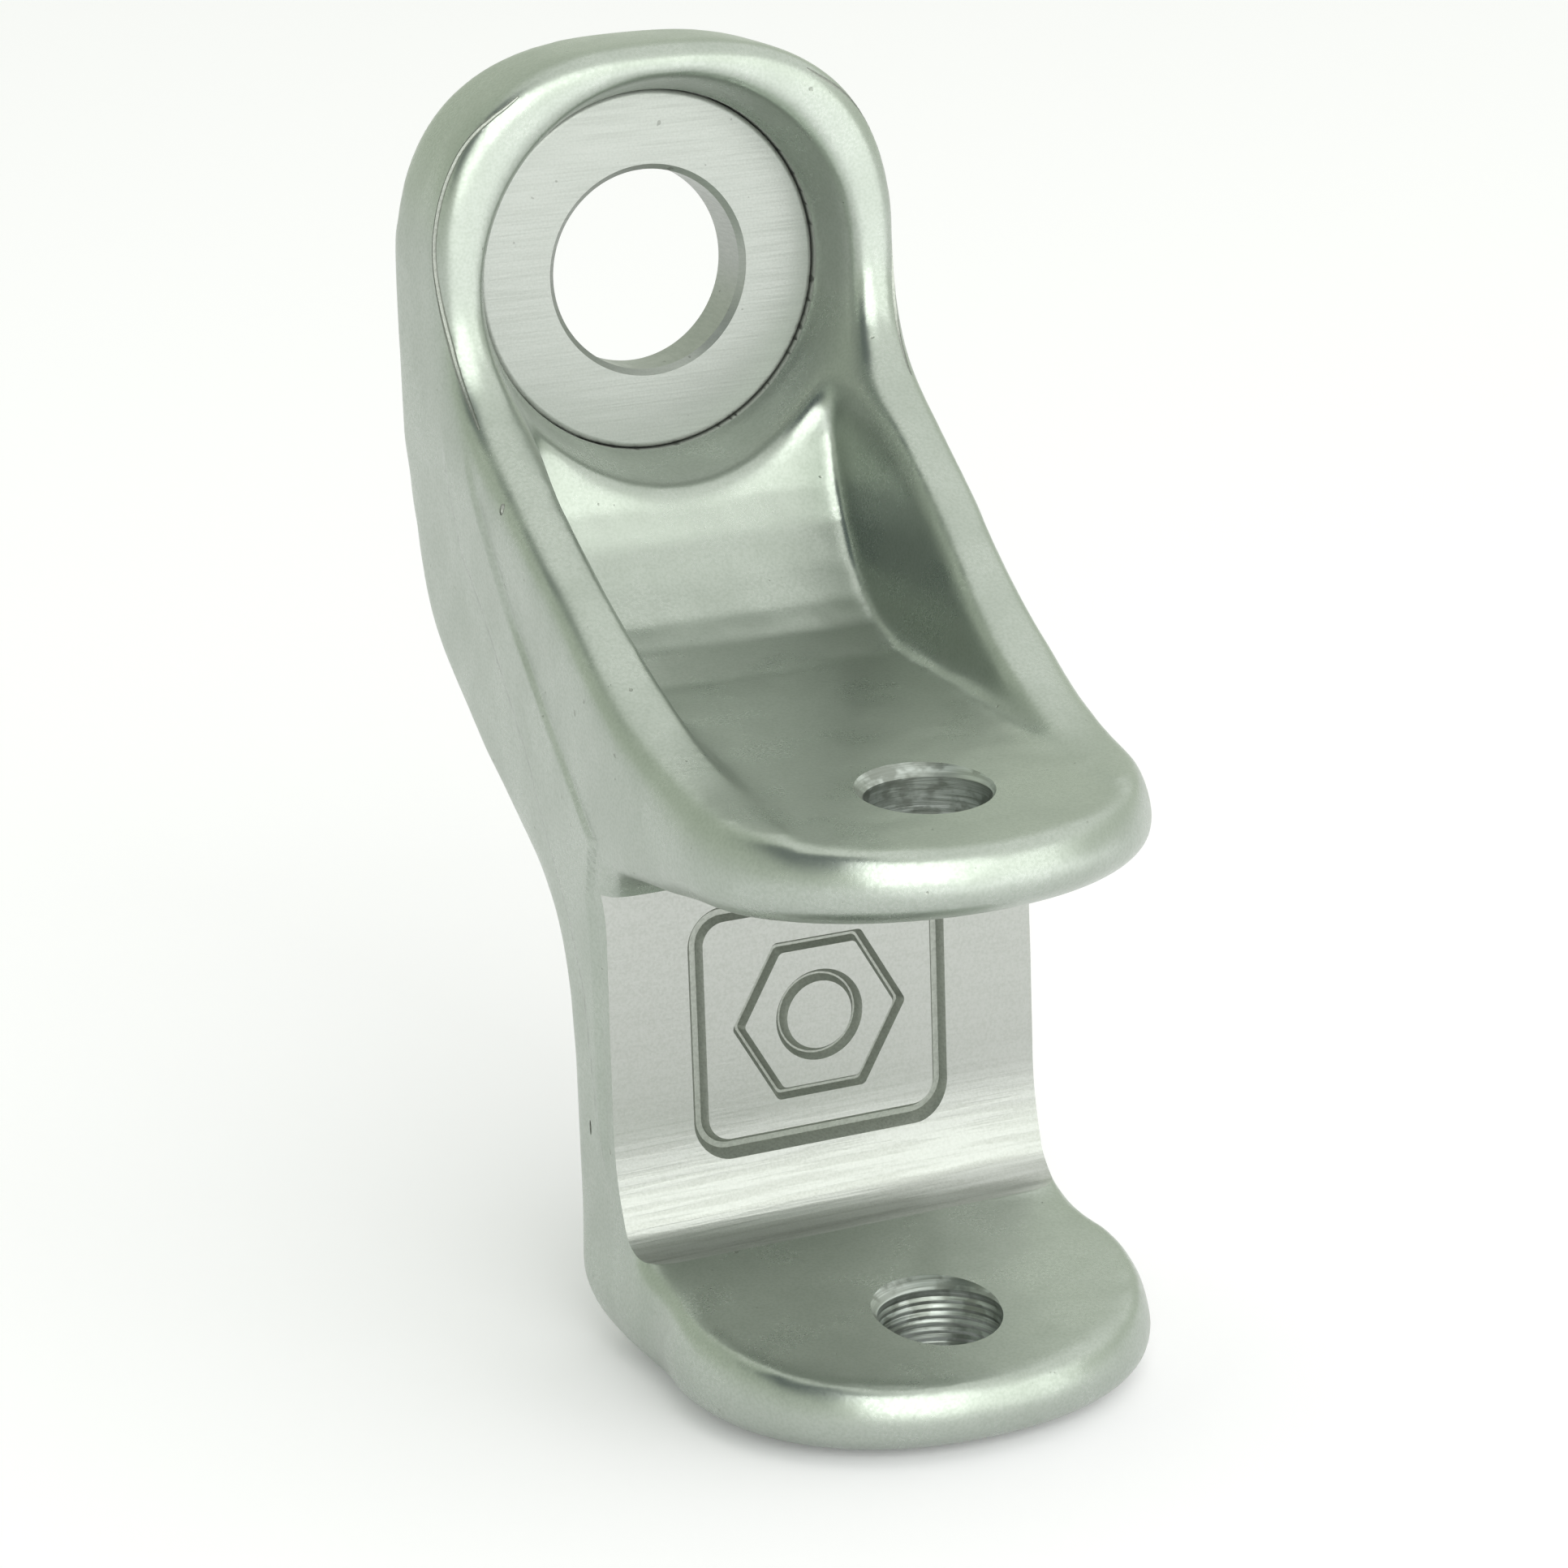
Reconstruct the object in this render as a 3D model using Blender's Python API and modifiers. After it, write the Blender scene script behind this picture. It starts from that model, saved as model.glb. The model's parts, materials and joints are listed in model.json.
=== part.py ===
"""Forked hitch bracket: a forging with an axle eye, a scooped web and a two-lug clevis, and its pressed-in eye ring.

Frame: metres, +Z up along the hitch pin, +Y towards the back, +X to the right.
The origin is on the axle's line, on the front face of the eye ring.
"""

import math

import bmesh
import bpy
from mathutils import Matrix, Vector

ASSEMBLY = "fork_hitch_bracket"
MM = 0.001

# Driving dimensions, in millimetres. y and z are counted from the hitch pin's axis and the lower lug's top face.
GAP = 0.3
SKIN = 0.1
PIN_HOLE_RADIUS = 3.1
BORE_RADIUS = 5.25

# The eye and its ring.
EYE_Z = 46.8
EYE_HALF_WIDTH = 13.2
EYE_HALF_HEIGHT = 12.0
EYE_SQUARENESS = 2.5
EYE_FRONT_Y = 28.2
EYE_BACK_Y = 34.8
RIM_ROUNDING = 1.7
RING_FACE_Y = 31.6
FLANGE_RADIUS = 9.4
FLANGE_THICKNESS = 1.1
SLEEVE_RADIUS = 7.0
RECESS_DRAFT = 0.28

# The web: the C-shaped side view and the waisted front view.
WEB_HALF_WIDTH = 13.0
WEB_ROUNDING = 2.0
LIMIT_HALF_WIDTH = 13.6
WAIST_HALF_WIDTH = 11.8
WEB_TOP_Z = EYE_Z + 4
RIM_TURN_Z = 43.1
CHEEK_TURN = (6.5, 27.9)
CHEEK_TIP_Y = -1.0
BACK_TURN_Z = 18.6
BACK_BULGE = (35.7, 29.6)
LOWER_ROOT_Y = 4.0

# The lugs. Each plan is a round nose on straight sides; the faces slope by their forging draft.
UPPER_PLAN = {"half_width": 12.3, "root_y": 13.5, "centre_y": 2.5, "depth": 10.4, "power": 2.0}
LOWER_PLAN = {"half_width": 12.6, "root_y": 12.0, "centre_y": 4.6, "depth": 11.7, "power": 2.15}
CHEEK_PLAN = {"half_width": 12.4, "root_y": 38.0, "centre_y": 2.5, "depth": 10.5, "power": 2.0}
UPPER_LUG_Z = 26.8
UPPER_LUG_SLOPE = 0.088
LOWER_LUG_SLOPE = 0.139
SLOT_TOP_Z = 22.1
SLOT_TOP_SLOPE = -0.06
BASE_Z = -4.5
LUG_ROUNDING = 1.85
LUG_HALF_DRAWING = 2.1

# The milled clevis.
CLEVIS_WALL_Y = 12.5
CLEVIS_BACK_Y = 17.0
CLEVIS_BOTTOM_Z = 1.35
CLEVIS_TOP_Z = 20.0
CLEVIS_CUTTER_RADIUS = 2.0

# The scoop between the cheeks, as (x, y, z) down its right-hand side.
POCKET_CREST = [(10.7, 4.5, 28.6), (10.7, 10.5, 30.6), (10.7, 16.0, 34.3), (10.7, 21.5, 38.3), (9.9, 26.5, 42.0)]
POCKET_BACK = [(7.3, 22.9, 29.2), (7.9, 25.7, 31.0), (8.5, 27.5, 34.0), (8.5, 28.0, 39.5)]
POCKET_FOOT = [(6.9, 20.0), (8.3, 10.0), (10.0, 0.0), (11.5, -14.0)]
POCKET_MOUTH = (0.0, -5.7, 8.2)
POCKET_FRONT_CORNER = (11.5, -14.0, 40.0)

# How far cutters reach past the piece, and how round shapes are divided.
REACH = 20.0
ARC_STEPS = 6
NOSE_STEPS = 14
EYE_STEPS = 12
ROUND_SIDES = 64
PIN_SIDES = 48
SHARP_ANGLE = math.radians(35)


def clear_scene():
    for old in list(bpy.data.objects):
        bpy.data.objects.remove(old, do_unlink=True)


def new_collection(name):
    collection = bpy.data.collections.new(name)
    bpy.context.scene.collection.children.link(collection)
    return collection


def new_object(name, bm, collection):
    """Turns a bmesh drawn in millimetres from the pin axis into an object in metres from the part's origin."""
    bmesh.ops.translate(bm, verts=bm.verts, vec=(0, -RING_FACE_Y, -EYE_Z))
    bmesh.ops.scale(bm, verts=bm.verts, vec=(MM, MM, MM))
    bmesh.ops.recalc_face_normals(bm, faces=bm.faces)
    mesh = bpy.data.meshes.new(name)
    bm.to_mesh(mesh)
    bm.free()
    mesh.shade_smooth()
    mesh.set_sharp_from_angle(angle=SHARP_ANGLE)
    piece = bpy.data.objects.new(name, mesh)
    collection.objects.link(piece)
    return piece


def material(name, colour, roughness):
    finish = bpy.data.materials.new(name)
    finish.use_nodes = True
    shader = finish.node_tree.nodes["Principled BSDF"]
    shader.inputs["Base Color"].default_value = (*colour, 1)
    shader.inputs["Metallic"].default_value = 1.0
    shader.inputs["Roughness"].default_value = roughness
    return finish


def combine(target, tool, operation):
    """Joins, cuts or limits target by tool, and keeps tool out of sight."""
    tool.hide_render = True
    tool.display_type = "WIRE"
    modifier = target.modifiers.new(f"{operation.lower()}_{tool.name}", "BOOLEAN")
    modifier.operation = operation
    modifier.solver = "EXACT"
    modifier.object = tool


def filleted(corners):
    """The outline through corners (a, b, radius), with an arc of that radius at each corner."""
    points = []
    for i, (a, b, radius) in enumerate(corners):
        here = Vector((a, b))
        if radius == 0:
            points.append(here)
            continue
        before = (Vector(corners[i - 1][:2]) - here).normalized()
        after = (Vector(corners[(i + 1) % len(corners)][:2]) - here).normalized()
        half = before.angle(after) / 2
        centre = here + (before + after).normalized() * (radius / math.sin(half))
        start = here + before * (radius / math.tan(half)) - centre
        end = here + after * (radius / math.tan(half)) - centre
        for step in range(ARC_STEPS + 1):
            arm = start.lerp(end, step / ARC_STEPS).normalized() * radius
            points.append(centre + arm)
    return points


def prism(outline, axis, low, high):
    """A solid with that outline in the plane across axis, from low to high along it."""
    place = {
        "X": lambda p: (low, p[0], p[1]),
        "Y": lambda p: (p[0], low, p[1]),
        "Z": lambda p: (p[0], p[1], low),
    }[axis]
    bm = bmesh.new()
    base = bm.faces.new([bm.verts.new(place(p)) for p in outline])
    swept = bmesh.ops.extrude_face_region(bm, geom=[base])["geom"]
    top_verts = [item for item in swept if isinstance(item, bmesh.types.BMVert)]
    bmesh.ops.translate(bm, verts=top_verts, vec=axis_vector(axis) * (high - low))
    bmesh.ops.recalc_face_normals(bm, faces=bm.faces)
    return bm


def axis_vector(axis):
    return Vector([1.0 if axis == letter else 0.0 for letter in "XYZ"])


def round_rims(bm, axis, radius, segments):
    """Rounds the edges round both end faces of a prism."""
    along = axis_vector(axis)
    rims = [e for e in bm.edges if abs((e.verts[0].co - e.verts[1].co).dot(along)) < radius / 2]
    bmesh.ops.bevel(
        bm, geom=rims, offset=radius, segments=segments, profile=0.5, affect="EDGES", clamp_overlap=False
    )
    return bm


def cone(radius_front, radius_back, y_front, y_back):
    """A round solid on the axle's line."""
    bm = bmesh.new()
    bmesh.ops.create_cone(
        bm, cap_ends=True, segments=ROUND_SIDES, radius1=radius_front, radius2=radius_back, depth=y_back - y_front
    )
    bmesh.ops.rotate(bm, verts=bm.verts, cent=(0, 0, 0), matrix=Matrix.Rotation(-math.pi / 2, 3, "X"))
    bmesh.ops.translate(bm, verts=bm.verts, vec=(0, (y_front + y_back) / 2, EYE_Z))
    return bm


def superellipse(half_width, depth, power, steps):
    """Quarter points (across, along) of a squarish ellipse, from its side to its tip."""
    points = []
    for step in range(steps + 1):
        angle = math.pi / 2 * step / steps
        points.append((half_width * math.cos(angle) ** (2 / power), depth * math.sin(angle) ** (2 / power)))
    return points


def upper_lug_top(y):
    return UPPER_LUG_Z + UPPER_LUG_SLOPE * y


def lower_lug_top(y):
    return LOWER_LUG_SLOPE * y


def slot_top(y):
    return SLOT_TOP_Z + SLOT_TOP_SLOPE * y


def lug_base(y):
    return BASE_Z


def lug_outline(plan, root_half_width):
    """Plan of a lug: sides from the root, and a round nose."""
    nose = superellipse(plan["half_width"], plan["depth"], plan["power"], NOSE_STEPS)
    right = [(x, plan["centre_y"] - y) for x, y in nose]
    left = [(-x, y) for x, y in reversed(right[:-1])]
    return [(root_half_width, plan["root_y"])] + right + left + [(-root_half_width, plan["root_y"])]


def drafted_lug(plan, bottom, top):
    """A round-edged slab with that plan, whose faces follow bottom(y) and top(y)."""
    bm = prism(lug_outline(plan, plan["half_width"]), "Z", -LUG_HALF_DRAWING, LUG_HALF_DRAWING)
    round_rims(bm, "Z", LUG_ROUNDING, 4)
    for vert in bm.verts:
        share = (vert.co.z / LUG_HALF_DRAWING + 1) / 2
        vert.co.z = bottom(vert.co.y) * (1 - share) + top(vert.co.y) * share
    return bm


def web_outline():
    """Side view of the C-shaped forging, from the eye's front edge down its front and up its back."""
    wall_y = CLEVIS_WALL_Y - GAP
    front = [
        (EYE_FRONT_Y, WEB_TOP_Z, 0),
        (EYE_FRONT_Y, RIM_TURN_Z, 8),
        (*CHEEK_TURN, 14),
        (CHEEK_TIP_Y, upper_lug_top(CHEEK_TIP_Y) + SKIN, 0),
    ]
    slot = [
        (CHEEK_TIP_Y, slot_top(CHEEK_TIP_Y) + SKIN, 0),
        (wall_y, slot_top(wall_y) + SKIN, 2.6),
        (wall_y, lower_lug_top(wall_y) - SKIN, 2.2),
        (LOWER_ROOT_Y, lower_lug_top(LOWER_ROOT_Y) - SKIN, 0),
    ]
    back = [
        (LOWER_ROOT_Y, BASE_Z + SKIN, 0),
        (CLEVIS_BACK_Y, BASE_Z + SKIN, 6.5),
        (CLEVIS_BACK_Y, BACK_TURN_Z, 6),
        (*BACK_BULGE, 8),
        (EYE_BACK_Y - SKIN, WEB_TOP_Z, 0),
    ]
    return filleted(front + slot + back)


def front_outline():
    """Front view of the web: full width at the eye and cheeks, a waist beside the clevis, and a wider foot."""
    right = [
        (LIMIT_HALF_WIDTH, WEB_TOP_Z + 2, 0),
        (LIMIT_HALF_WIDTH, 23.5, 6),
        (WAIST_HALF_WIDTH, 17.5, 6),
        (WAIST_HALF_WIDTH, 4.0, 5),
        (LIMIT_HALF_WIDTH, -1.5, 4),
        (LIMIT_HALF_WIDTH, BASE_Z - 1, 0),
    ]
    left = [(-x, z, radius) for x, z, radius in reversed(right)]
    return filleted(right + left)


def eye_outline():
    """Front view of the eye: a squarish round, wider than it is high."""
    quarter = superellipse(EYE_HALF_WIDTH, EYE_HALF_HEIGHT, EYE_SQUARENESS, EYE_STEPS)
    upper = quarter + [(-x, z) for x, z in reversed(quarter[:-1])]
    lower = [(-x, -z) for x, z in quarter[1:]] + [(x, -z) for x, z in reversed(quarter[1:-1])]
    return [(x, EYE_Z + z) for x, z in upper + lower]


def eye_boss():
    """The thick wall round the axle, with its rounded rim."""
    return round_rims(prism(eye_outline(), "Y", EYE_FRONT_Y, EYE_BACK_Y), "Y", RIM_ROUNDING, 3)


def web():
    """The sloping web with the clevis wall below it."""
    return round_rims(prism(web_outline(), "X", -WEB_HALF_WIDTH, WEB_HALF_WIDTH), "X", WEB_ROUNDING, 3)


def pocket():
    """The scoop between the cheeks: drafted walls, a coved back and the upper lug's sloping top as its floor."""
    mouth = [Vector(corner) + Vector(POCKET_MOUTH) for corner in POCKET_CREST] + [POCKET_FRONT_CORNER]
    foot = [(x, y, upper_lug_top(y)) for x, y in POCKET_FOOT]
    bm = bmesh.new()
    for x, y, z in POCKET_CREST + POCKET_BACK + mouth + foot:
        bm.verts.new((x, y, z))
        bm.verts.new((-x, y, z))
    hull = bmesh.ops.convex_hull(bm, input=bm.verts)
    spare = [item for item in hull["geom_interior"] if isinstance(item, bmesh.types.BMVert)]
    bmesh.ops.delete(bm, geom=spare, context="VERTS")
    return bm


def clevis_cut():
    """The milled facing of the clevis wall, with the cutter's corner radius at its foot."""
    side = [
        (-REACH, CLEVIS_BOTTOM_Z, 0),
        (CLEVIS_WALL_Y, CLEVIS_BOTTOM_Z, CLEVIS_CUTTER_RADIUS),
        (CLEVIS_WALL_Y, CLEVIS_TOP_Z, 0),
        (-REACH, CLEVIS_TOP_Z, 0),
    ]
    return prism(filleted(side), "X", -REACH, REACH)


def pin_drill():
    """One drill through both lugs."""
    bm = bmesh.new()
    bmesh.ops.create_cone(
        bm,
        cap_ends=True,
        segments=PIN_SIDES,
        radius1=PIN_HOLE_RADIUS,
        radius2=PIN_HOLE_RADIUS,
        depth=UPPER_LUG_Z - BASE_Z + REACH,
    )
    bmesh.ops.translate(bm, verts=bm.verts, vec=(0, 0, (UPPER_LUG_Z + BASE_Z) / 2))
    return bm


def eye_recess():
    """The drafted hollow inside the rim, down to the plane of the ring's face."""
    slim = FLANGE_RADIUS + GAP
    depth = RING_FACE_Y - EYE_FRONT_Y + 4
    return cone(slim + RECESS_DRAFT * depth, slim, RING_FACE_Y + SKIN - depth, RING_FACE_Y + SKIN)


def ring_seat():
    """The counterbore that the ring's flange lies in."""
    radius = FLANGE_RADIUS + GAP
    return cone(radius, radius, EYE_FRONT_Y - 3, RING_FACE_Y + FLANGE_THICKNESS + GAP)


def ring_bore():
    """The hole through the eye wall that the ring's sleeve goes into."""
    radius = SLEEVE_RADIUS + GAP
    return cone(radius, radius, RING_FACE_Y, EYE_BACK_Y + REACH)


def front_limit():
    return prism(front_outline(), "Y", -REACH, EYE_BACK_Y + REACH)


def cheek_limit():
    """The plan of the whole piece, so that the cheeks narrow into the upper lug's nose."""
    return prism(lug_outline(CHEEK_PLAN, LIMIT_HALF_WIDTH), "Z", BASE_Z - 1, WEB_TOP_Z + 1)


def forged_body(parts, tools):
    body = new_object("forged_body", web(), parts)
    for name, operation, bm in [
        ("front_limit", "INTERSECT", front_limit()),
        ("cheek_limit", "INTERSECT", cheek_limit()),
        ("eye_boss", "UNION", eye_boss()),
        ("upper_lug", "UNION", drafted_lug(UPPER_PLAN, slot_top, upper_lug_top)),
        ("lower_lug", "UNION", drafted_lug(LOWER_PLAN, lug_base, lower_lug_top)),
        ("pocket", "DIFFERENCE", pocket()),
        ("clevis_cut", "DIFFERENCE", clevis_cut()),
        ("pin_drill", "DIFFERENCE", pin_drill()),
        ("eye_recess", "DIFFERENCE", eye_recess()),
        ("ring_seat", "DIFFERENCE", ring_seat()),
        ("ring_bore", "DIFFERENCE", ring_bore()),
    ]:
        combine(body, new_object(name, bm, tools), operation)
    body.data.materials.append(material("satin_forged_alloy", (0.55, 0.58, 0.54), 0.42))


def ring_profile():
    """Half section of the ring, from the back of the bore round the sleeve and the flange."""
    flange_back = RING_FACE_Y + FLANGE_THICKNESS
    corners = [
        (BORE_RADIUS, EYE_BACK_Y),
        (SLEEVE_RADIUS, EYE_BACK_Y),
        (SLEEVE_RADIUS, flange_back),
        (FLANGE_RADIUS, flange_back),
        (FLANGE_RADIUS, RING_FACE_Y),
        (BORE_RADIUS, RING_FACE_Y),
    ]
    bm = bmesh.new()
    verts = [bm.verts.new((radius, y, EYE_Z)) for radius, y in corners]
    for i, vert in enumerate(verts):
        bm.edges.new((vert, verts[(i + 1) % len(verts)]))
    return bm


def eye_ring(parts):
    """A turned ring: a flat flange at the front and a short sleeve through the eye wall."""
    ring = new_object("eye_ring", ring_profile(), parts)
    turn = ring.modifiers.new("turn", "SCREW")
    turn.axis = "Y"
    turn.angle = 2 * math.pi
    turn.steps = ROUND_SIDES
    turn.render_steps = ROUND_SIDES
    turn.use_merge_vertices = True
    turn.merge_threshold = 0.00001
    turn.use_normal_calculate = True
    turn.use_normal_flip = True
    ring.data.materials.append(material("machined_ring", (0.62, 0.64, 0.62), 0.33))


def main():
    clear_scene()
    parts = new_collection(ASSEMBLY)
    tools = new_collection("cutters")
    forged_body(parts, tools)
    eye_ring(parts)


main()
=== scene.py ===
"""Looks of the forked hitch bracket: its forging, machined cuts and eye ring, the studio and the camera."""

import json
import math

import bmesh
import bpy
import numpy as np
from mathutils import Matrix, Vector


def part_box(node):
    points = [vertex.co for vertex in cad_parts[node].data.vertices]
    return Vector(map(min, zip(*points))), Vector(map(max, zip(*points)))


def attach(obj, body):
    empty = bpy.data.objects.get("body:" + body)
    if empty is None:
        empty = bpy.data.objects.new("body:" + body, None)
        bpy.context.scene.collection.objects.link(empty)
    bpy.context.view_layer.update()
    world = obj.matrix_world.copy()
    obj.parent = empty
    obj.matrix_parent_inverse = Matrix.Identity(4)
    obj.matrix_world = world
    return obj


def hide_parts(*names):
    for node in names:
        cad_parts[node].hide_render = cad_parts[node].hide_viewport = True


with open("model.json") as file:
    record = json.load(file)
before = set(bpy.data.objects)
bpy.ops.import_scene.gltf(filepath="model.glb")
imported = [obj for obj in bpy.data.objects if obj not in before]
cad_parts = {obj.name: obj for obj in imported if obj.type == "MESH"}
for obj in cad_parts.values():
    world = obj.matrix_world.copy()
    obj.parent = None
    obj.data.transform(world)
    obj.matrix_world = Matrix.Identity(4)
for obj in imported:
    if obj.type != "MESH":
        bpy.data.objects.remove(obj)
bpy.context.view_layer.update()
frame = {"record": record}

MM = 0.001
BODY = "forged_body"
RING = "eye_ring"

# The shapes are drawn in millimetres. They count y back from the hitch pin's axis, and z up from the top face
# of the lower lug at that axis.
BASE_Z = -4.5
body_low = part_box(BODY)[0]
ring_low, ring_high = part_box(RING)
EYE_Z = BASE_Z - body_low.z / MM
RING_DEPTH = (ring_high.y - ring_low.y) / MM
FLANGE_RADIUS = ring_high.x / MM
openings = {o["name"]: o["box_m"] for o in frame["record"]["physics"]["openings"]}
RING_FACE_Y = -(openings["upper_pin_hole"][0][1] + openings["upper_pin_hole"][1][1]) / 2 / MM
TO_PART = Matrix.Scale(MM, 4) @ Matrix.Translation((0, -RING_FACE_Y, -EYE_Z))

# Eye.
EYE_HALF_WIDTH = 13.05
EYE_HALF_HEIGHT = 12.2
EYE_SQUARENESS = 2.6
EYE_FRONT_Y = 28.2
EYE_BACK_Y = RING_FACE_Y + RING_DEPTH
RECESS_DRAFT = 0.28
RECESS_GAP = 0.06
RECESS_SINK = 0.2
RECESS_REACH = 14.0
RECESS_MOUTH = 9.9

# Ring and its seat.
BORE_RADIUS = 5.25
SLEEVE_RADIUS = 6.95
FLANGE_THICKNESS = 1.1
RING_EDGE = 0.3
RING_EDGE_STEPS = 5
SEAT_GAP = 0.05
SEAT_BORE_RADIUS = 7.1
SEAT_DEPTH = 1.25
SEAT_CHAMFER = 0.3

# Web and clevis.
WEB_HALF_WIDTH = 12.35
FOOT_HALF_WIDTH = 12.6
FOOT_CHAMFER = 1.5
WAIST_HALF_WIDTH = 11.8
TOP_Z = EYE_Z + EYE_HALF_HEIGHT + 2
NOSE_Y = -9.0
LOWER_ROOT_Y = 4.0
CLEVIS_WALL_Y = 12.5
CLEVIS_BACK_Y = 18.3
CLEVIS_BOTTOM_Z = 1.35
CLEVIS_TOP_Z = 20.0
CLEVIS_FOOT_Z = 5.4
CLEVIS_CUTTER_RADIUS = 2.0
STOCK = 0.5
SKIN = 0.1

# Pocket. Its crests run along the cheeks and its foot lies on the upper lug. The rise takes the crests on
# forwards and up, so that the pocket is open there.
POCKET_CREST = [(7.7, 4.5, 27.7), (8.5, 10.5, 30.2), (9.2, 16.0, 33.8), (9.5, 21.5, 37.8), (9.2, 25.5, 41.0)]
POCKET_FOOT = [(6.9, 18.0), (7.4, 10.0), (8.1, 0.0), (9.2, -14.0)]
POCKET_RISE = (-5.7, 8.2)
POCKET_FRONT = (9.2, -14.0, 40.0)
POCKET_BACK = (8.6, 28.0, 42.5)
COVE_RADIUS = 11.5
COVE_FOOT = (7.0, 28.0, 28.4)
COVE_SPREAD = 1.5
COVE_STEPS = 8

# Lugs. The undercut and the lean list how far the nose is set in, each at a share of the lug's height.
LOWER_PLAN = {"half_width": 12.5, "root_y": 13.5, "centre_y": 4.6, "depth": 11.8, "power": 2.15}
CHEEK_PLAN = {"half_width": 12.2, "root_y": 38.0, "centre_y": 2.5, "depth": 10.8, "power": 2.0}
UPPER_LUG_Z = 26.8
UPPER_LUG_SLOPE = 0.088
LOWER_LUG_SLOPE = 0.139
SLOT_TOP_Z = 22.1
SLOT_TOP_SLOPE = -0.06
LUG_UNDERCUT = [(-0.03, 2.2), (0.04, 1.5), (0.12, 0.9), (0.22, 0.4), (0.33, 0.1)]
LUG_LEAN = [(0.44, 0.0), (0.6, 0.09), (0.75, 0.24), (0.88, 0.44), (1.0, 0.75)]
LUG_END_Y = 10.0
LUG_MIDDLE_Y = 5.0
LUG_BLEND = 8.0
UPPER_ROOT_HALF_WIDTH = 13.2
LOWER_ROOT_HALF_WIDTH = 11.2
PIN_HOLE_RADIUS = 3.1
UPPER_SINK = 0.28
LOWER_SINK = 0.08
DRILL_OVERRUN = 3
DRILL_SIDES = 96
THREAD_PITCH = 0.4
THREAD_DEPTH = 0.07

# Softening of the forging's edges. Seen from the side, the crest's line is a point and a direction square to
# it. Each firmness is a share of the softening that is held back.
CREST_POINT = (7.0, 27.7)
CREST_NORMAL = (0.588, -0.809)
NOSE_FIRMNESS = 0.72
EYE_FIRMNESS = 0.45
POCKET_FIRMNESS = 0.85
LUG_FIRMNESS = 0.8
UNDER_RING_SOFTNESS = 0.8

# Marks of the die and of use. The crease is drawn as (x, y, z) on the left half and the edges of the land as
# (y, z) on both sides. Each nick is a place and a size.
CREASE_RADIUS = 0.2
CREASE = [(-8, 28.5, 57), (-11.5, 28.9, 54), (-12.8, 29, 49), (-12.4, 27.8, 44), (-12.2, 25.5, 41)]
LAND_HEIGHT = 0.2
LAND_BACK = [(14, 4.5), (15.5, 14), (20, 24.7), (27.7, 34), (29.2, 41)]
LAND_FRONT = [(13.5, 4.5), (13.5, 19.5), (12, 22.8), (21.6, 32), (26.4, 41)]
LAND_STEP = 0.25
NICKS = [((-12.5, 22.0, 37.6), (0.2, 0.2, 0.35)), ((-11.8, 15.6, 6.7), (0.3, 0.12, 0.42))]

# Engraving on the clevis wall: a nut in a plain frame.
MARK_CENTRE = (-0.3, 11.7)
MARK_DEPTH = 0.42
FRAME_HALF_WIDTH = 6.7
FRAME_HALF_HEIGHT = 6.2
FRAME_CORNER = 1.6
FRAME_GROOVE = 0.9
NUT_RADIUS = 4.5
NUT_CORNER = 0.35
NUT_GROOVE = 0.75
NUT_HOLE_RADIUS = 2.1
NUT_HOLE_SIDES = 48
NUT_HOLE_GROOVE = 0.7
GROOVE_SLOPE = 0.3
GROOVE_OVERRUN = 0.3

# Fineness.
ARC_STEPS = 12
NOSE_STEPS = 28
EYE_STEPS = 24
ROUND_SIDES = 160
TUBE_SIDES = 8
CREASE_STEPS = 12
COARSE_VOXEL = 0.3
COARSE_PASSES = 60
FINE_VOXEL = 0.25
FINE_PASSES = 80
SOFT_LEVELS = 12
SHARP_ANGLE = 38
REACH = 20.0

# Finishes. The cutter streaks fade between two heights, which are in the frame's metres. Their paler colour
# is partly the cutter's marks and partly a painted highlight at the foot of the wall.
METALLIC = 0.9
STREAKS_FULL_Z = (CLEVIS_BOTTOM_Z + 2.5 - EYE_Z) * MM
STREAKS_FAINT_Z = (CLEVIS_BOTTOM_Z + 7.5 - EYE_Z) * MM

# Studio. Each area of the room is a heading, the angles from it where the area starts to fade and where it
# ends, and a colour. The floor's glow is given far from its pool and in it: the floor glows though it is no
# lamp, most in a painted pool of light at the front right.
LAMP_DISTANCE = 1.2
ROOM_COLOUR = (0.70, 0.76, 0.64)
PALE_GROUND = ((0, -90), 74, 108, (1.05, 1.08, 1.02))
BRIGHT_CEILING = ((80, 64), 26, 58, (1.18, 1.2, 1.15))
DARK_PATCH = ((-64, 46), 14, 32, (0.03, 0.06, 0.07))
FLOOR_HALF_WIDTH = 2.0
FLOOR_GAP = 0.0002
FLOOR_COLOUR = (0.92, 0.9, 0.94)
FLOOR_GLOW = (0.1, 0.9)
# Centre of the painted pool of light that glows in the floor.
FLOOR_PAINTED_LIGHT_POOL = (0.14, -0.38, 0.0)
FLOOR_PAINTED_LIGHT_POOL_RADII = (0.20, 0.36)

# Camera: the heading that it looks from and its lean in degrees, its lens, and its place among the shapes.
CAMERA_HEADING = (-24.19, 16.73)
CAMERA_ROLL = -1.89
CAMERA_LENS = 109.938
CAMERA_SENSOR = 36
CAMERA_PLACE = (-95.36, -195.677, 92.719)


# ---------------------------------------------------------------- meshes

def mesh_object(name, bm):
    bmesh.ops.recalc_face_normals(bm, faces=bm.faces)
    mesh = bpy.data.meshes.new(name)
    bm.to_mesh(mesh)
    bm.free()
    piece = bpy.data.objects.new(name, mesh)
    bpy.context.scene.collection.objects.link(piece)
    return piece


def evaluated(piece):
    """Applies the modifiers of piece."""
    graph = bpy.context.evaluated_depsgraph_get()
    graph.update()
    mesh = bpy.data.meshes.new_from_object(piece.evaluated_get(graph))
    piece.modifiers.clear()
    piece.data = mesh
    return piece


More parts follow.
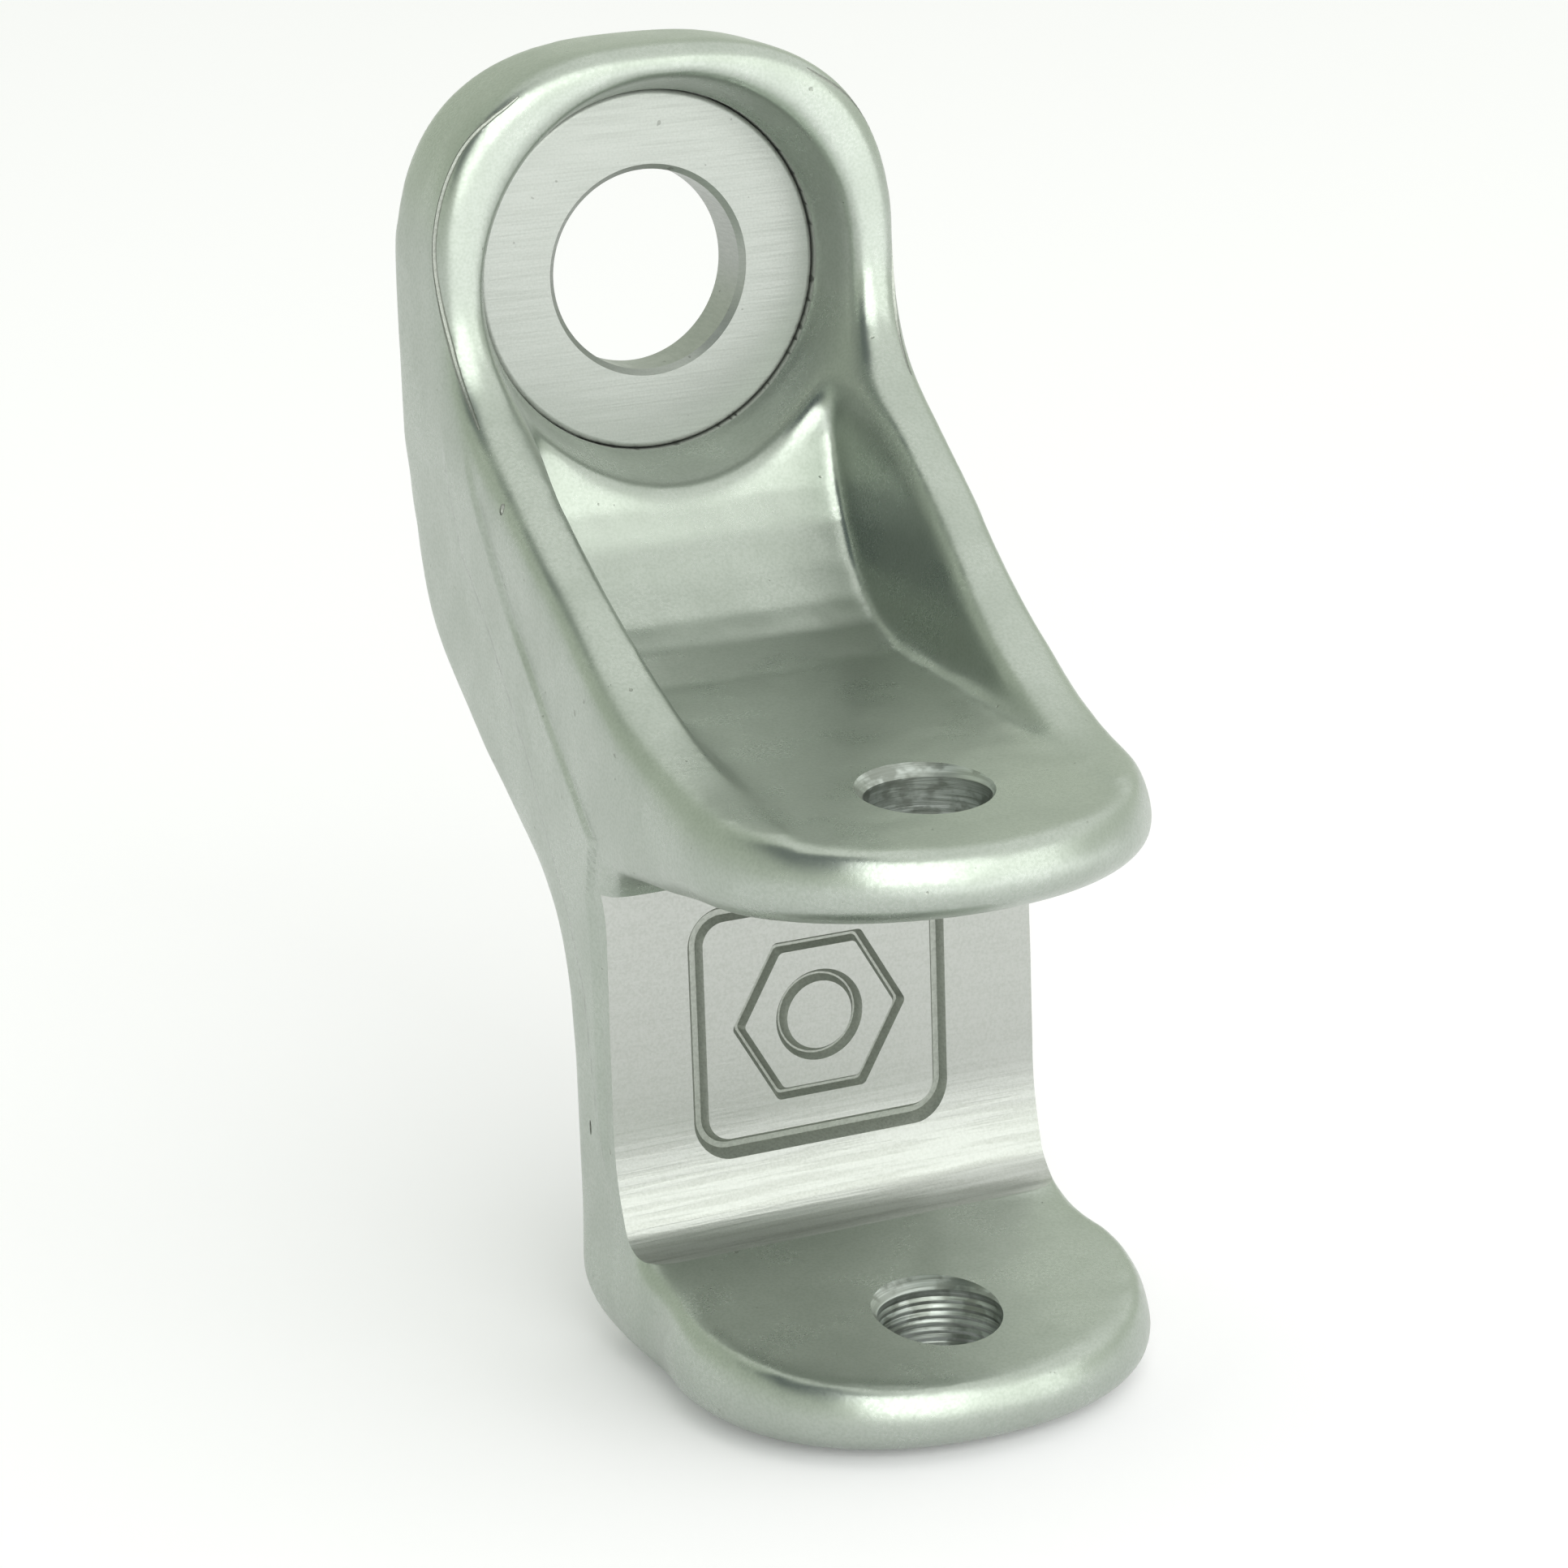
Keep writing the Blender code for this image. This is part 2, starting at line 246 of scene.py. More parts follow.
def combine(target, bm, name, operation, finish=None):
    """Joins, cuts or limits target by the solid in bm; finish is the material of the new faces."""
    tool = mesh_object(name, bm)
    if finish:
        tool.data.materials.append(finish)
    cut = target.modifiers.new(name, "BOOLEAN")
    cut.operation = operation
    cut.solver = "EXACT"
    cut.material_mode = "TRANSFER"
    cut.object = tool
    evaluated(target)
    bpy.data.objects.remove(tool, do_unlink=True)


def filleted(corners):
    """The outline through corners (a, b, radius), with an arc of that radius at each corner."""
    points = []
    for i, (a, b, radius) in enumerate(corners):
        here = Vector((a, b))
        if radius == 0:
            points.append(here)
            continue
        before = (Vector(corners[i - 1][:2]) - here).normalized()
        after = (Vector(corners[(i + 1) % len(corners)][:2]) - here).normalized()
        half = before.angle(after) / 2
        centre = here + (before + after).normalized() * (radius / math.sin(half))
        start = here + before * (radius / math.tan(half)) - centre
        end = here + after * (radius / math.tan(half)) - centre
        for step in range(ARC_STEPS + 1):
            arm = start.lerp(end, step / ARC_STEPS).normalized() * radius
            points.append(centre + arm)
    return points


def axis_vector(axis):
    return Vector([1.0 if axis == letter else 0.0 for letter in "XYZ"])


def prism(outline, axis, low, high):
    """A solid with that outline in the plane across axis, X or Y, from low to high along it."""
    place = {"X": lambda p: (low, p[0], p[1]), "Y": lambda p: (p[0], low, p[1])}[axis]
    bm = bmesh.new()
    base = bm.faces.new([bm.verts.new(place(p)) for p in outline])
    swept = bmesh.ops.extrude_face_region(bm, geom=[base])["geom"]
    top_verts = [item for item in swept if isinstance(item, bmesh.types.BMVert)]
    bmesh.ops.translate(bm, verts=top_verts, vec=axis_vector(axis) * (high - low))
    bmesh.ops.recalc_face_normals(bm, faces=bm.faces)
    return bm


def circle(radius, sides):
    arms = [2 * math.pi * i / sides for i in range(sides)]
    return [(radius * math.cos(a), radius * math.sin(a)) for a in arms]


def turned(profile, axis, centre, sides=ROUND_SIDES):
    """A solid of revolution about axis, Y or Z.

    profile is (radius, height along the axis), from one end on the axis to the other.
    """
    bm = bmesh.new()
    rings = []
    for radius, height in profile:
        if radius == 0:
            rings.append([bm.verts.new((0, 0, height))])
        else:
            rings.append([bm.verts.new((a, b, height)) for a, b in circle(radius, sides)])
    for lower, upper in zip(rings, rings[1:]):
        for i in range(sides):
            j = (i + 1) % sides
            if len(lower) == 1:
                bm.faces.new((lower[0], upper[i], upper[j]))
            elif len(upper) == 1:
                bm.faces.new((lower[i], lower[j], upper[0]))
            else:
                bm.faces.new((lower[i], lower[j], upper[j], upper[i]))
    if axis == "Y":
        lay_down = Matrix.Rotation(-math.pi / 2, 3, "X")
        bmesh.ops.rotate(bm, verts=bm.verts, cent=(0, 0, 0), matrix=lay_down)
    bmesh.ops.translate(bm, verts=bm.verts, vec=centre)
    bmesh.ops.recalc_face_normals(bm, faces=bm.faces)
    return bm


def superellipse(half_width, depth, power, steps):
    """A quarter of a rounded outline, from its side to its end."""
    points = []
    for step in range(steps + 1):
        angle = math.pi / 2 * step / steps
        across = half_width * math.cos(angle) ** (2 / power)
        points.append((across, depth * math.sin(angle) ** (2 / power)))
    return points


# ---------------------------------------------------------------- the forging

def upper_lug_top(y):
    return UPPER_LUG_Z + UPPER_LUG_SLOPE * y


def lower_lug_top(y):
    return LOWER_LUG_SLOPE * y


def slot_top(y):
    return SLOT_TOP_Z + SLOT_TOP_SLOPE * y


def lug_base(y):
    return BASE_Z


def lug_outline(plan, root_half_width):
    """The plan of a lug, from the root on its right round the nose to the root on its left."""
    nose = superellipse(plan["half_width"], plan["depth"], plan["power"], NOSE_STEPS)
    share = (LUG_END_Y - plan["centre_y"]) / (plan["root_y"] - plan["centre_y"])
    side = plan["half_width"] * (1 - share) + root_half_width * share
    right = [(root_half_width, plan["root_y"]), (side, LUG_END_Y)]
    right += [(x, plan["centre_y"] - y) for x, y in nose]
    left = [(-x, y) for x, y in reversed(right[:-1])]
    return right + left


def stack(outline, bottom, top, insets, root_share):
    """A solid of rings with that outline, between bottom(y) and top(y).

    insets gives each ring's share of that height and how far it is set in. Behind the lug's end it is set in
    by root_share of that only.
    """
    loops = []
    bm = bmesh.new()
    for share, inset in insets:
        loop = []
        for x, y in outline:
            inward = Vector((-x, LUG_MIDDLE_Y - y)).normalized()
            weight = root_share + (1 - root_share) * min(max((LUG_END_Y - y) / LUG_BLEND, 0.0), 1.0)
            x_in = x + inward.x * inset * weight
            y_in = y + inward.y * inset * weight
            loop.append(bm.verts.new((x_in, y_in, bottom(y_in) * (1 - share) + top(y_in) * share)))
        loops.append(loop)
    for lower, upper in zip(loops, loops[1:]):
        for i in range(len(outline)):
            j = (i + 1) % len(outline)
            bm.faces.new((lower[i], lower[j], upper[j], upper[i]))
    bm.faces.new(loops[0])
    bm.faces.new(loops[-1])
    bmesh.ops.recalc_face_normals(bm, faces=bm.faces)
    return bm


def profile_block():
    """The C-shaped side view: down the front to the upper lug's nose, round the slot and up the back."""
    wall_y = CLEVIS_WALL_Y - STOCK
    outline = [
        (EYE_FRONT_Y, TOP_Z, 0),
        (EYE_FRONT_Y, 43.1, 8),
        (7.0, 27.7, 30),
        (NOSE_Y, upper_lug_top(NOSE_Y) + 0.15, 0),
        (NOSE_Y, slot_top(NOSE_Y), 0),
        (wall_y, slot_top(wall_y), 2.6),
        (wall_y - 1.6, lower_lug_top(wall_y) - 0.2, 1.6),
        (LOWER_ROOT_Y, lower_lug_top(LOWER_ROOT_Y) - SKIN, 0),
        (LOWER_ROOT_Y, BASE_Z + SKIN, 0),
        (CLEVIS_BACK_Y, BASE_Z + SKIN, 6.5),
        (CLEVIS_BACK_Y, 16.9, 12),
        (EYE_BACK_Y + 0.9, 29.6, 8),
        (EYE_BACK_Y, TOP_Z, 0),
    ]
    return prism(filleted(outline), "X", -REACH, REACH)


def front_limit():
    """The front view: a squarish round eye on straight sides, a waist beside the clevis and a wider foot."""
    eye = superellipse(EYE_HALF_WIDTH, EYE_HALF_HEIGHT, EYE_SQUARENESS, EYE_STEPS)
    right = [(x, EYE_Z + z, 0) for x, z in reversed(eye)]
    right += [
        (EYE_HALF_WIDTH, 40.0, 12),
        (WEB_HALF_WIDTH, 32.0, 20),
        (WEB_HALF_WIDTH, 23.5, 6),
        (WAIST_HALF_WIDTH, 17.5, 6),
        (WAIST_HALF_WIDTH, 1.0, 4),
        (FOOT_HALF_WIDTH, -2.2, 3),
        (FOOT_HALF_WIDTH - FOOT_CHAMFER, BASE_Z, 0),
        (FOOT_HALF_WIDTH - FOOT_CHAMFER, BASE_Z - 1, 0),
    ]
    left = [(-x, z, radius) for x, z, radius in reversed(right[1:])]
    return prism(filleted(right + left), "Y", -REACH, EYE_BACK_Y + REACH)


def plan_limit():
    """The plan of the cheeks and the upper lug, whose nose leans back at the top and tucks under below.

    It goes on far below and above the lug, so that it limits the whole height of the piece.
    """
    insets = [(-6.5, 2.2)] + LUG_UNDERCUT + LUG_LEAN + [(1.3, 0.8), (9.0, 0.8)]
    return stack(lug_outline(CHEEK_PLAN, UPPER_ROOT_HALF_WIDTH), slot_top, upper_lug_top, insets, 0.0)


def lower_lug():
    insets = [(0.0, 2.0)] + LUG_UNDERCUT[1:] + LUG_LEAN
    return stack(lug_outline(LOWER_PLAN, LOWER_ROOT_HALF_WIDTH), lug_base, lower_lug_top, insets, 0.7)


def pocket():
    """The scoop between the cheeks, with a coved back: the hull of its corners on both sides."""
    forward, rise = POCKET_RISE
    corners = POCKET_CREST + [(x, y + forward, z + rise) for x, y, z in POCKET_CREST]
    corners += [POCKET_FRONT, POCKET_BACK]
    corners += [(x, y, upper_lug_top(y)) for x, y in POCKET_FOOT]
    for step in range(COVE_STEPS + 1):
        angle = math.pi / 2 * step / COVE_STEPS
        out, up = math.sin(angle), 1 - math.cos(angle)
        x, y, z = COVE_FOOT
        corners.append((x + COVE_SPREAD * out, y - COVE_RADIUS * (1 - out), z + COVE_RADIUS * up))
    bm = bmesh.new()
    for x, y, z in corners:
        bm.verts.new((x, y, z))
        bm.verts.new((-x, y, z))
    hull = bmesh.ops.convex_hull(bm, input=bm.verts)
    spare = [item for item in hull["geom_interior"] if isinstance(item, bmesh.types.BMVert)]
    bmesh.ops.delete(bm, geom=spare, context="VERTS")
    return bm


def eye_recess():
    """The drafted hollow inside the rim."""
    slim = FLANGE_RADIUS + RECESS_GAP
    floor_y = RING_FACE_Y + RECESS_SINK
    front_y = floor_y - RECESS_REACH
    profile = [(0, floor_y), (slim, floor_y), (slim + RECESS_DRAFT * RECESS_REACH, front_y), (0, front_y)]
    return turned(profile, "Y", (0, 0, EYE_Z))


def ease(low, high, value):
    """Rises smoothly from 0 to 1 as value goes from low to high, which may be the smaller of the two."""
    share = np.clip((value - low) / (high - low), 0.0, 1.0)
    return share * share * (3 - 2 * share)


def blunt_noses(x, y, z):
    """How much each point is softened: the lugs' noses keep their edges."""
    return 1 - NOSE_FIRMNESS * ease(9.0, 4.0, y)


def blunt_rims(x, y, z):
    """How much each point is softened: most along the rim and the cheeks' crests, little in the pocket."""
    behind_crest = (y - CREST_POINT[0]) * CREST_NORMAL[0] + (z - CREST_POINT[1]) * CREST_NORMAL[1]
    behind_rim = np.maximum(behind_crest, y - EYE_FRONT_Y)
    along_rims = 1 - EYE_FIRMNESS * ease(42.0, 46.0, z)
    along_rims *= 1 - POCKET_FIRMNESS * ease(2.0, 4.0, behind_rim)
    along_rims *= 1 - LUG_FIRMNESS * ease(3.0, -2.0, y)
    from_mouth = np.abs(np.hypot(x, z - EYE_Z) - RECESS_MOUTH)
    under_ring = UNDER_RING_SOFTNESS * ease(2.2, 1.0, from_mouth) * ease(24.0, 26.0, y)
    return np.maximum(along_rims, under_ring)


def reskin(body, voxel, passes, softness):
    """Gives body one even skin and softens its edges by that many passes, weighted by softness(x, y, z)."""
    skin = body.modifiers.new("skin", "REMESH")
    skin.mode = "VOXEL"
    skin.voxel_size = voxel
    skin.adaptivity = 0
    evaluated(body)
    places = np.empty(len(body.data.vertices) * 3)
    body.data.vertices.foreach_get("co", places)
    levels = np.rint(softness(*places.reshape(-1, 3).T) * SOFT_LEVELS).astype(int)
    group = body.vertex_groups.new(name="softness")
    for level in range(1, SOFT_LEVELS + 1):
        group.add(np.flatnonzero(levels == level).tolist(), level / SOFT_LEVELS, "REPLACE")
    soften = body.modifiers.new("soften", "SMOOTH")
    soften.factor = 0.5
    soften.iterations = passes
    soften.vertex_group = group.name
    evaluated(body)
    body.vertex_groups.clear()


def raise_land(body):
    """Raises the narrow land that the die's joint leaves down each side, between LAND_FRONT and LAND_BACK."""
    count = len(body.data.vertices)
    places = np.empty(count * 3)
    normals = np.empty(count * 3)
    body.data.vertices.foreach_get("co", places)
    body.data.vertices.foreach_get("normal", normals)
    places = places.reshape(-1, 3)
    facing = normals.reshape(-1, 3)[:, 0]
    y, z = places[:, 1], places[:, 2]
    back = np.interp(z, [p[1] for p in LAND_BACK], [p[0] for p in LAND_BACK])
    front = np.interp(z, [p[1] for p in LAND_FRONT], [p[0] for p in LAND_FRONT])
    share = ease(0.0, LAND_STEP, back - y) * ease(0.0, LAND_STEP, y - front)
    share *= ease(0.75, 0.92, np.abs(facing)) * ease(4.5, 7.0, z) * ease(41.0, 37.0, z)
    share *= ease(10.9, 11.4, np.abs(places[:, 0]))
    places[:, 0] += np.sign(facing) * LAND_HEIGHT * share
    body.data.vertices.foreach_set("co", places.ravel())
    body.data.update()


def tube(path, radii):
    """A closed tube along path, with a radius at each of its points."""
    bm = bmesh.new()
    loops = []
    for i, (point, radius) in enumerate(zip(path, radii)):
        along = (path[min(i + 1, len(path) - 1)] - path[max(i - 1, 0)]).normalized()
        across = along.cross(Vector((0, 1, 0))).normalized()
        upright = along.cross(across)
        arms = [2 * math.pi * k / TUBE_SIDES for k in range(TUBE_SIDES)]
        spokes = [across * math.cos(a) + upright * math.sin(a) for a in arms]
        loops.append([bm.verts.new(point + spoke * radius) for spoke in spokes])
    for lower, upper in zip(loops, loops[1:]):
        for k in range(TUBE_SIDES):
            j = (k + 1) % TUBE_SIDES
            bm.faces.new((lower[k], lower[j], upper[j], upper[k]))
    bm.faces.new(loops[0])
    bm.faces.new(loops[-1])
    bmesh.ops.recalc_face_normals(bm, faces=bm.faces)
    return bm


def smooth_path(points, steps):
    """A smooth curve through points."""
    ends = [points[0] * 2 - points[1]] + points + [points[-1] * 2 - points[-2]]
    curve = []
    for a, b, c, d in zip(ends, ends[1:], ends[2:], ends[3:]):
        for step in range(steps):
            t = step / steps
            straight = (2 * b) + (c - a) * t
            bend = (2 * a - 5 * b + 4 * c - d) * t * t
            curve.append(0.5 * (straight + bend + (3 * b - a - 3 * c + d) * t ** 3))
    return curve + [points[-1]]


def cut_crease(body):
    """The sharp crease where the rim's bead rolls over on to the sides."""
    for side in (1, -1):
        path = smooth_path([Vector((x * side, y, z)) for x, y, z in CREASE], CREASE_STEPS)
        path = [body.closest_point_on_mesh(point)[1] for point in path]
        last = len(path) - 1
        swell = [math.sin(math.pi * i / last) ** 0.6 for i in range(len(path))]
        radii = [CREASE_RADIUS * (0.3 + 0.7 * share) for share in swell]
        # The crease's faces are darkened with painted shade.
        combine(body, tube(path, radii), "crease", "DIFFERENCE", finish=rough_hollows_painted_shade)


def cut_nick(body, place, size):
    """A small dent of that size, where the skin comes nearest to place."""
    bm = bmesh.new()
    bmesh.ops.create_icosphere(bm, subdivisions=2, radius=1.0)
    bmesh.ops.scale(bm, verts=bm.verts, vec=size)
    bmesh.ops.translate(bm, verts=bm.verts, vec=body.closest_point_on_mesh(place)[1])
    # The nick's faces are darkened with painted shade.
    combine(body, bm, "nick", "DIFFERENCE", finish=rough_hollows_painted_shade)


def forging():
    """The body as it leaves the die: one skin with soft edges."""
    body = mesh_object(BODY + "_fine", profile_block())
    combine(body, front_limit(), "front_limit", "INTERSECT")
    combine(body, plan_limit(), "plan_limit", "INTERSECT")
    combine(body, lower_lug(), "lower_lug", "UNION")
    reskin(body, COARSE_VOXEL, COARSE_PASSES, blunt_noses)
    combine(body, pocket(), "pocket", "DIFFERENCE")
    combine(body, eye_recess(), "eye_recess", "DIFFERENCE")
    reskin(body, FINE_VOXEL, FINE_PASSES, blunt_rims)
    raise_land(body)
    return body


# ---------------------------------------------------------------- the machined cuts

def clevis_cut():
    """The slot's cut: a flat floor at the root of the lower lug, which curves up into the wall."""
    side = [
        (-REACH, CLEVIS_BOTTOM_Z, 0),
        (CLEVIS_WALL_Y - 1.3, CLEVIS_BOTTOM_Z, CLEVIS_CUTTER_RADIUS),
        (CLEVIS_WALL_Y, CLEVIS_FOOT_Z, 12),
        (CLEVIS_WALL_Y, CLEVIS_TOP_Z, 0),
        (-REACH, CLEVIS_TOP_Z, 0),
    ]
    return prism(filleted(side), "X", -REACH, REACH)


def lug_drill(top, bottom, sink, threaded=False):
    """A drill through a lug, with a countersunk mouth at each end and, if threaded, rings like a thread's."""
    mouth = PIN_HOLE_RADIUS + sink + DRILL_OVERRUN
    profile = [(0, top + DRILL_OVERRUN), (mouth, top + DRILL_OVERRUN), (PIN_HOLE_RADIUS, top - sink)]
    if threaded:
        turns = int((top - bottom - 2 * sink - THREAD_PITCH) / THREAD_PITCH)
        for turn in range(turns):
            height = top - sink - THREAD_PITCH * (turn + 0.5)
            profile.append((PIN_HOLE_RADIUS, height))
            profile.append((PIN_HOLE_RADIUS + THREAD_DEPTH, height - THREAD_PITCH / 2))
    profile += [(PIN_HOLE_RADIUS, bottom + sink)]
    profile += [(mouth, bottom - DRILL_OVERRUN), (0, bottom - DRILL_OVERRUN)]
    return turned(profile, "Z", (0, 0, 0), DRILL_SIDES)


def frame_outline(offset):
    width = FRAME_HALF_WIDTH + offset
    height = FRAME_HALF_HEIGHT + offset
    corners = [(width, height), (-width, height), (-width, -height), (width, -height)]
    return filleted([(x, z, FRAME_CORNER + offset) for x, z in corners])


def nut_outline(offset):
    radius = NUT_RADIUS + offset
    turns = [math.radians(a) for a in range(0, 360, 60)]
    return filleted([(radius * math.cos(a), radius * math.sin(a), NUT_CORNER) for a in turns])


def nut_hole_outline(offset):
    return circle(NUT_HOLE_RADIUS + offset, NUT_HOLE_SIDES)


def add_groove(bm, outline, width):
    """Adds a flat-bottomed groove of that width in the clevis wall, along outline(offset from its middle)."""
    front_y = CLEVIS_WALL_Y - GROOVE_OVERRUN
    back_y = CLEVIS_WALL_Y + MARK_DEPTH
    mouth = width / 2 + GROOVE_SLOPE / 2
    bottom = width / 2 - GROOVE_SLOPE
    loops = []
    for offset, y in ((mouth, front_y), (bottom, back_y), (-bottom, back_y), (-mouth, front_y)):
        loops.append([bm.verts.new((MARK_CENTRE[0] + a, y, MARK_CENTRE[1] + b)) for a, b in outline(offset)])
    for first, second in zip(loops, loops[1:] + loops[:1]):
        for i in range(len(first)):
            j = (i + 1) % len(first)
            bm.faces.new((first[i], first[j], second[j], second[i]))


def engraving():
    """The grooves of the frame, the nut and the nut's hole, as one solid."""
    bm = bmesh.new()
    add_groove(bm, frame_outline, FRAME_GROOVE)
    add_groove(bm, nut_outline, NUT_GROOVE)
    add_groove(bm, nut_hole_outline, NUT_HOLE_GROOVE)
    return bm


def seat_cut():
    """The counterbore of the ring's flange and the bore behind it, with a chamfer round its back end."""
    outer = FLANGE_RADIUS + SEAT_GAP
    inner = SEAT_BORE_RADIUS
    front_y = EYE_FRONT_Y - 2
    step_y = RING_FACE_Y + SEAT_DEPTH
    chamfer_y = EYE_BACK_Y - SEAT_CHAMFER
    profile = [(0, front_y), (outer, front_y), (outer, step_y), (inner, step_y)]
    profile += [(inner, chamfer_y), (inner + 2, chamfer_y + 2), (0, chamfer_y + 2)]
    return turned(profile, "Y", (0, 0, EYE_Z))


def body_piece():
    body = forging()
    body.data.materials.clear()
    body.data.materials.append(forged)
    cut_crease(body)
    for place, size in NICKS:
        cut_nick(body, place, size)
    combine(body, clevis_cut(), "clevis_cut", "DIFFERENCE", finish=milled)
    # The grooves' faces are darkened with painted shade.
    combine(body, engraving(), "engraving", "DIFFERENCE", finish=rough_hollows_painted_shade)
    combine(body, lug_drill(UPPER_LUG_Z, SLOT_TOP_Z, UPPER_SINK), "upper_drill", "DIFFERENCE", finish=drilled)
    lower_drill = lug_drill(0.0, BASE_Z, LOWER_SINK, threaded=True)
    combine(body, lower_drill, "lower_drill", "DIFFERENCE", finish=drilled)
    combine(body, seat_cut(), "seat_cut", "DIFFERENCE", finish=milled)
    finish_piece(body)
    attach(body, "root")
    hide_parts(BODY)


def finish_piece(piece):
    """Takes piece from the drawing to the frame, and shades it smooth between its sharp edges."""
    piece.data.transform(TO_PART)
    piece.data.shade_smooth()
    piece.data.set_sharp_from_angle(angle=math.radians(SHARP_ANGLE))


def ring_profile():
    """Half section of the ring as (radius, y): face, rounded edge of the flange, sleeve and bore."""
    round_radius = FLANGE_RADIUS - RING_EDGE
    round_y = RING_FACE_Y + RING_EDGE
    flange_back = RING_FACE_Y + FLANGE_THICKNESS
    profile = [(BORE_RADIUS + RING_EDGE, RING_FACE_Y)]
    for step in range(RING_EDGE_STEPS + 1):
        angle = math.pi / 2 * step / RING_EDGE_STEPS
        profile.append((round_radius + RING_EDGE * math.sin(angle), round_y - RING_EDGE * math.cos(angle)))
    return profile + [
        (FLANGE_RADIUS, flange_back),
        (SLEEVE_RADIUS, flange_back),
        (SLEEVE_RADIUS, EYE_BACK_Y - RING_EDGE),
        (SLEEVE_RADIUS - RING_EDGE, EYE_BACK_Y),
        (BORE_RADIUS + RING_EDGE, EYE_BACK_Y),
        (BORE_RADIUS, EYE_BACK_Y - RING_EDGE),
        (BORE_RADIUS, RING_FACE_Y + RING_EDGE),
    ]


def ring_piece():
    bm = bmesh.new()
    rings = []
    for radius, y in ring_profile():
        rings.append([bm.verts.new((a, y, EYE_Z + b)) for a, b in circle(radius, ROUND_SIDES)])
    for first, second in zip(rings, rings[1:] + rings[:1]):
        for i in range(ROUND_SIDES):
            j = (i + 1) % ROUND_SIDES
            bm.faces.new((first[i], first[j], second[j], second[i]))
    ring = mesh_object(RING + "_fine", bm)
    ring.data.materials.append(turned_metal)
    finish_piece(ring)
    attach(ring, "root")
    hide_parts(RING)


# ---------------------------------------------------------------- materials

class Finish:
    """A metal finish, built up from patterns in the part's own coordinates."""

    def __init__(self, name, bright, dull, roughness):
        self.material = bpy.data.materials.new(name)
        self.material.use_nodes = True
        self.nodes = self.material.node_tree.nodes
        self.links = self.material.node_tree.links
        self.shader = self.nodes["Principled BSDF"]
        self.shader.inputs["Metallic"].default_value = METALLIC
        self.where = self.nodes.new("ShaderNodeTexCoord").outputs["Object"]
        self.colour = self.blend(bright, bright, 0.0)
        self.dull = dull
        self.roughness = self.value(roughness)
        self.bump = None

    def value(self, number):
        node = self.nodes.new("ShaderNodeValue")
        node.outputs[0].default_value = number
        return node.outputs[0]

    def blend(self, first, second, share):
        node = self.nodes.new("ShaderNodeMix")
        node.data_type = "RGBA"
        for key, item in (("A", first), ("B", second)):
            if isinstance(item, tuple):
                node.inputs[key].default_value = (*item, 1)
            else:
                self.links.new(item, node.inputs[key])
        if isinstance(share, float):
            node.inputs["Factor"].default_value = share
        else:
            self.links.new(share, node.inputs["Factor"])
        return node.outputs["Result"]

    def calculate(self, operation, first, second):
        node = self.nodes.new("ShaderNodeMath")
        node.operation = operation
        for socket, item in zip(node.inputs, (first, second)):
            if isinstance(item, float):
                socket.default_value = item
            else:
                self.links.new(item, socket)
        return node.outputs[0]

    def noise(self, size_mm, detail=3.0, turn=(0, 0, 0)):
        """A pattern whose features are size_mm wide along x, y and z."""
        place = self.nodes.new("ShaderNodeMapping")
        place.inputs["Scale"].default_value = [1 / (size * MM) for size in size_mm]
        place.inputs["Rotation"].default_value = [math.radians(a) for a in turn]
        self.links.new(self.where, place.inputs["Vector"])
        pattern = self.nodes.new("ShaderNodeTexNoise")
        pattern.inputs["Scale"].default_value = 1.0
        pattern.inputs["Detail"].default_value = detail
        self.links.new(place.outputs["Vector"], pattern.inputs["Vector"])
        return pattern.outputs["Fac"]

    def between(self, value, low, high, out_low=0.0, out_high=1.0):
        """Turns value, from low to high, into a share from out_low to out_high."""
        node = self.nodes.new("ShaderNodeMapRange")
        node.interpolation_type = "SMOOTHSTEP"
        limits = {"From Min": low, "From Max": high, "To Min": out_low, "To Max": out_high}
        for key, number in limits.items():
            node.inputs[key].default_value = number
        self.links.new(value, node.inputs["Value"])
        return node.outputs["Result"]

    def tint(self, share):
        """Takes the colour towards the dull one."""
        self.colour = self.blend(self.colour, self.dull, share)

    def roughen(self, share):
        self.roughness = self.calculate("ADD", self.roughness, share)

    def raise_by(self, height, depth_mm):
        """Adds a relief to the surface, depth_mm deep."""
        node = self.nodes.new("ShaderNodeBump")
        node.inputs["Distance"].default_value = depth_mm * MM
        node.inputs["Strength"].default_value = 1.0
        self.links.new(height, node.inputs["Height"])
        if self.bump:
            self.links.new(self.bump, node.inputs["Normal"])
        self.bump = node.outputs["Normal"]

    def along(self, axis):
        node = self.nodes.new("ShaderNodeSeparateXYZ")
        self.links.new(self.where, node.inputs[0])
        return node.outputs[axis]

    def done(self):
        self.links.new(self.colour, self.shader.inputs["Base Color"])
        self.links.new(self.roughness, self.shader.inputs["Roughness"])
        if self.bump:
            self.links.new(self.bump, self.shader.inputs["Normal"])
        return self.material


